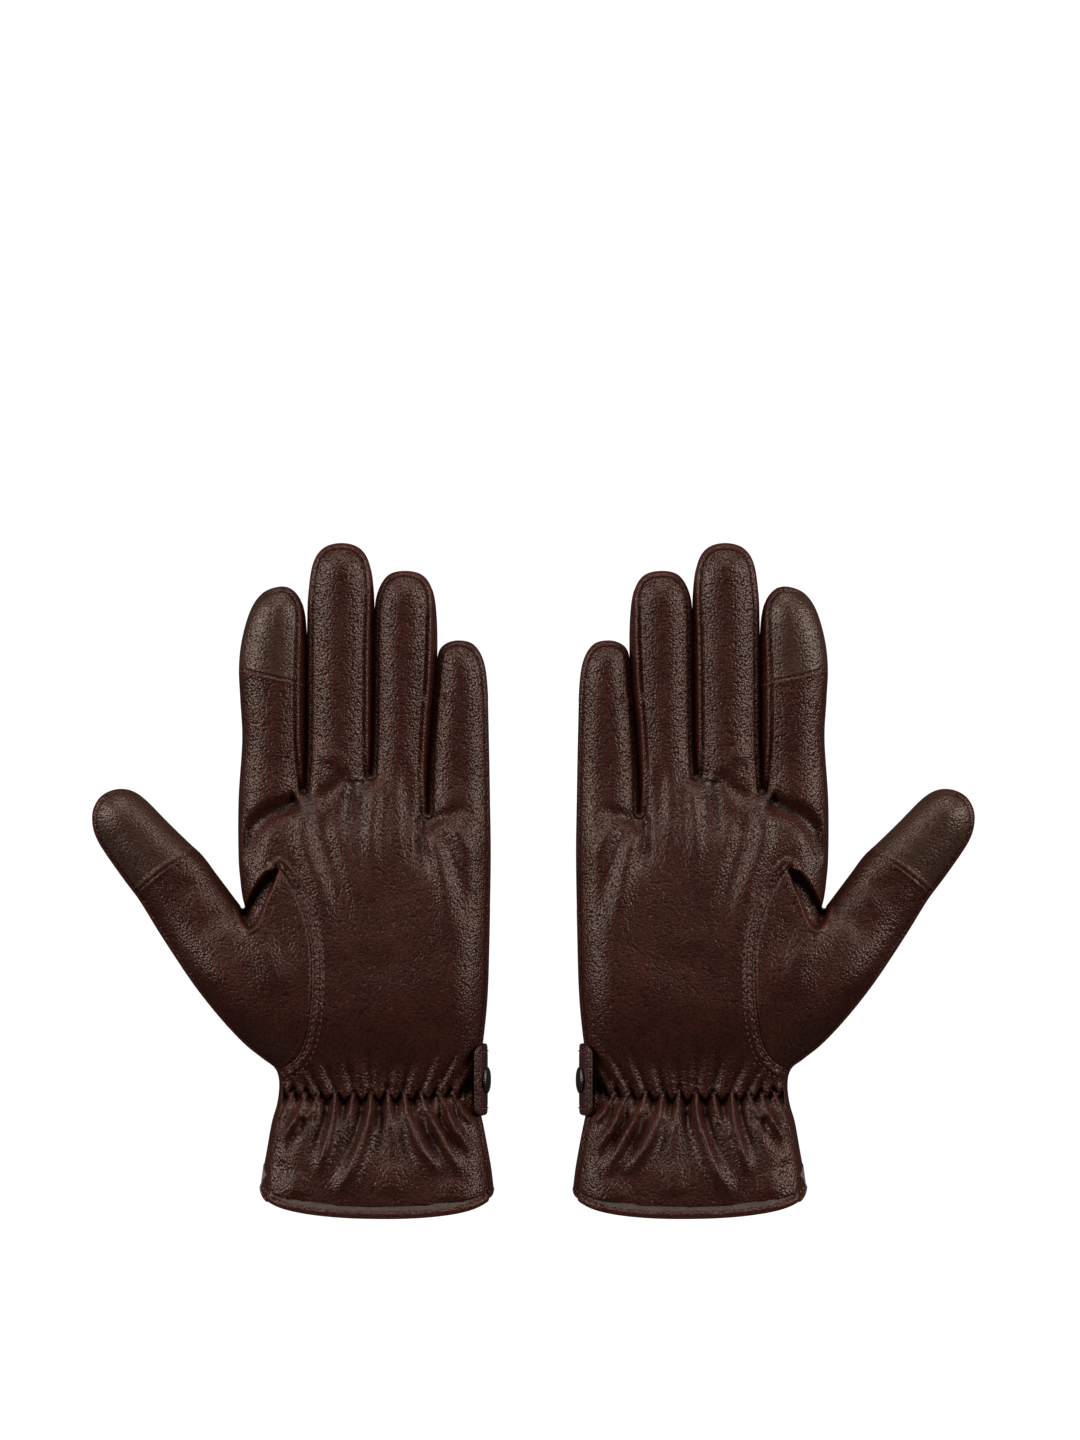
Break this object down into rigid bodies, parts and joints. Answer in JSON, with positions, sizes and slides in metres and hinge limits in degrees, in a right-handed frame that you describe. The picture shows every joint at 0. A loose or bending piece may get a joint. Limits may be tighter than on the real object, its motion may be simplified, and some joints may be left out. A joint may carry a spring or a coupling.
{
  "type": "touchscreen gloves",
  "caption": "Pair of lined leather gloves with touch patches on index finger and thumb, shirred elastic wrist, flared bound cuff and a snap strap, lying palms up.",
  "frame": {"origin": "on the resting plane, under the middle of the box round the pair", "axes": "+Y to the fingertips, +Z out of the palms, +X from the left glove to the right glove"},
  "size_m": [0.3194, 0.2451, 0.0341],
  "materials": {
    "leather": "dark reddish brown nappa leather, fine pebble grain, soft sheen",
    "touch_leather": "conductive leather, olive brown, slightly duller than the rest",
    "crease_leather": "the same leather, folded at the finger joints",
    "fleece_lining": "short brushed fleece, dark brown",
    "elastic_webbing": "woven elastic tape",
    "binding_leather": "thin turned leather strip, redder at the fold",
    "strap_leather": "two layers of the same leather, stitched and edge dyed",
    "snap_metal": "blackened metal, satin"
  },
  "bodies": {
    "left_hand": {"left_palm_leather": "leather", "left_back_leather": "leather", "left_thumb_base_leather": "leather", "left_crotch_fourchettes": "leather", "left_finger_creases": "crease_leather", "left_lining": "fleece_lining", "left_wrist_elastic": "elastic_webbing", "left_hem_binding": "binding_leather", "left_back_strap": "strap_leather", "left_snap_stud": "snap_metal"},
    "left_index": {"left_index_leather": "leather", "left_index_fourchette": "leather", "left_index_touch_patch": "touch_leather", "left_index_lining": "fleece_lining"},
    "left_middle": {"left_middle_leather": "leather", "left_middle_fourchettes": "leather", "left_middle_lining": "fleece_lining"},
    "left_ring": {"left_ring_leather": "leather", "left_ring_fourchettes": "leather", "left_ring_lining": "fleece_lining"},
    "left_little": {"left_little_leather": "leather", "left_little_fourchette": "leather", "left_little_lining": "fleece_lining"},
    "left_thumb": {"left_thumb_leather": "leather", "left_thumb_touch_patch": "touch_leather", "left_thumb_lining": "fleece_lining"},
    "left_strap_tab": {"left_strap_tab": "strap_leather", "left_snap_cap": "snap_metal", "left_snap_socket": "snap_metal"},
    "right_hand": {"right_palm_leather": "leather", "right_back_leather": "leather", "right_thumb_base_leather": "leather", "right_crotch_fourchettes": "leather", "right_finger_creases": "crease_leather", "right_lining": "fleece_lining", "right_wrist_elastic": "elastic_webbing", "right_hem_binding": "binding_leather", "right_back_strap": "strap_leather", "right_snap_stud": "snap_metal"},
    "right_index": {"right_index_leather": "leather", "right_index_fourchette": "leather", "right_index_touch_patch": "touch_leather", "right_index_lining": "fleece_lining"},
    "right_middle": {"right_middle_leather": "leather", "right_middle_fourchettes": "leather", "right_middle_lining": "fleece_lining"},
    "right_ring": {"right_ring_leather": "leather", "right_ring_fourchettes": "leather", "right_ring_lining": "fleece_lining"},
    "right_little": {"right_little_leather": "leather", "right_little_fourchette": "leather", "right_little_lining": "fleece_lining"},
    "right_thumb": {"right_thumb_leather": "leather", "right_thumb_touch_patch": "touch_leather", "right_thumb_lining": "fleece_lining"},
    "right_strap_tab": {"right_strap_tab": "strap_leather", "right_snap_cap": "snap_metal", "right_snap_socket": "snap_metal"}
  },
  "joints": [
    {"name": "right_glove_apart", "type": "slide", "parent": "left_hand", "child": "right_hand", "axis": [1, 0, 0], "range_m": [0, 0.08]},
    {"name": "left_index_curl", "type": "hinge", "parent": "left_hand", "child": "left_index", "pos_m": [-0.09456, 0.05599, 0.01], "axis": [0.9997, -0.0244, 0], "range_deg": [0, 90], "deforming": ["left_finger_creases"]},
    {"name": "left_middle_curl", "type": "hinge", "parent": "left_hand", "child": "left_middle", "pos_m": [-0.07152, 0.06097, 0.01025], "axis": [0.999, -0.0436, 0], "range_deg": [0, 90], "deforming": ["left_finger_creases"]},
    {"name": "left_ring_curl", "type": "hinge", "parent": "left_hand", "child": "left_ring", "pos_m": [-0.04884, 0.05648, 0.00975], "axis": [0.9993, -0.0384, 0], "range_deg": [0, 90], "deforming": ["left_finger_creases"]},
    {"name": "left_little_curl", "type": "hinge", "parent": "left_hand", "child": "left_little", "pos_m": [-0.02657, 0.0445, 0.009], "axis": [0.9999, -0.0122, 0], "range_deg": [0, 90], "deforming": ["left_finger_creases"]},
    {"name": "left_thumb_curl", "type": "hinge", "parent": "left_hand", "child": "left_thumb", "pos_m": [-0.13151, -0.0004, 0.01225], "axis": [0.8192, 0.5736, 0], "range_deg": [0, 70], "deforming": ["left_finger_creases"]},
    {"name": "left_strap_open", "type": "hinge", "parent": "left_hand", "child": "left_strap_tab", "pos_m": [-0.0157, -0.0721, 0.0107], "axis": [0, 1, 0], "range_deg": [0, 85]},
    {"name": "right_index_curl", "type": "hinge", "parent": "right_hand", "child": "right_index", "pos_m": [0.09456, 0.05599, 0.01], "axis": [0.9997, 0.0244, 0], "range_deg": [0, 90], "deforming": ["right_finger_creases"]},
    {"name": "right_middle_curl", "type": "hinge", "parent": "right_hand", "child": "right_middle", "pos_m": [0.07152, 0.06097, 0.01025], "axis": [0.999, 0.0436, 0], "range_deg": [0, 90], "deforming": ["right_finger_creases"]},
    {"name": "right_ring_curl", "type": "hinge", "parent": "right_hand", "child": "right_ring", "pos_m": [0.04884, 0.05648, 0.00975], "axis": [0.9993, 0.0384, 0], "range_deg": [0, 90], "deforming": ["right_finger_creases"]},
    {"name": "right_little_curl", "type": "hinge", "parent": "right_hand", "child": "right_little", "pos_m": [0.02657, 0.0445, 0.009], "axis": [0.9999, 0.0122, 0], "range_deg": [0, 90], "deforming": ["right_finger_creases"]},
    {"name": "right_thumb_curl", "type": "hinge", "parent": "right_hand", "child": "right_thumb", "pos_m": [0.13151, -0.0004, 0.01225], "axis": [0.8192, -0.5736, 0], "range_deg": [0, 70], "deforming": ["right_finger_creases"]},
    {"name": "right_strap_open", "type": "hinge", "parent": "right_hand", "child": "right_strap_tab", "pos_m": [0.0157, -0.0721, 0.0107], "axis": [0, -1, 0], "range_deg": [0, 85]}
  ]
}
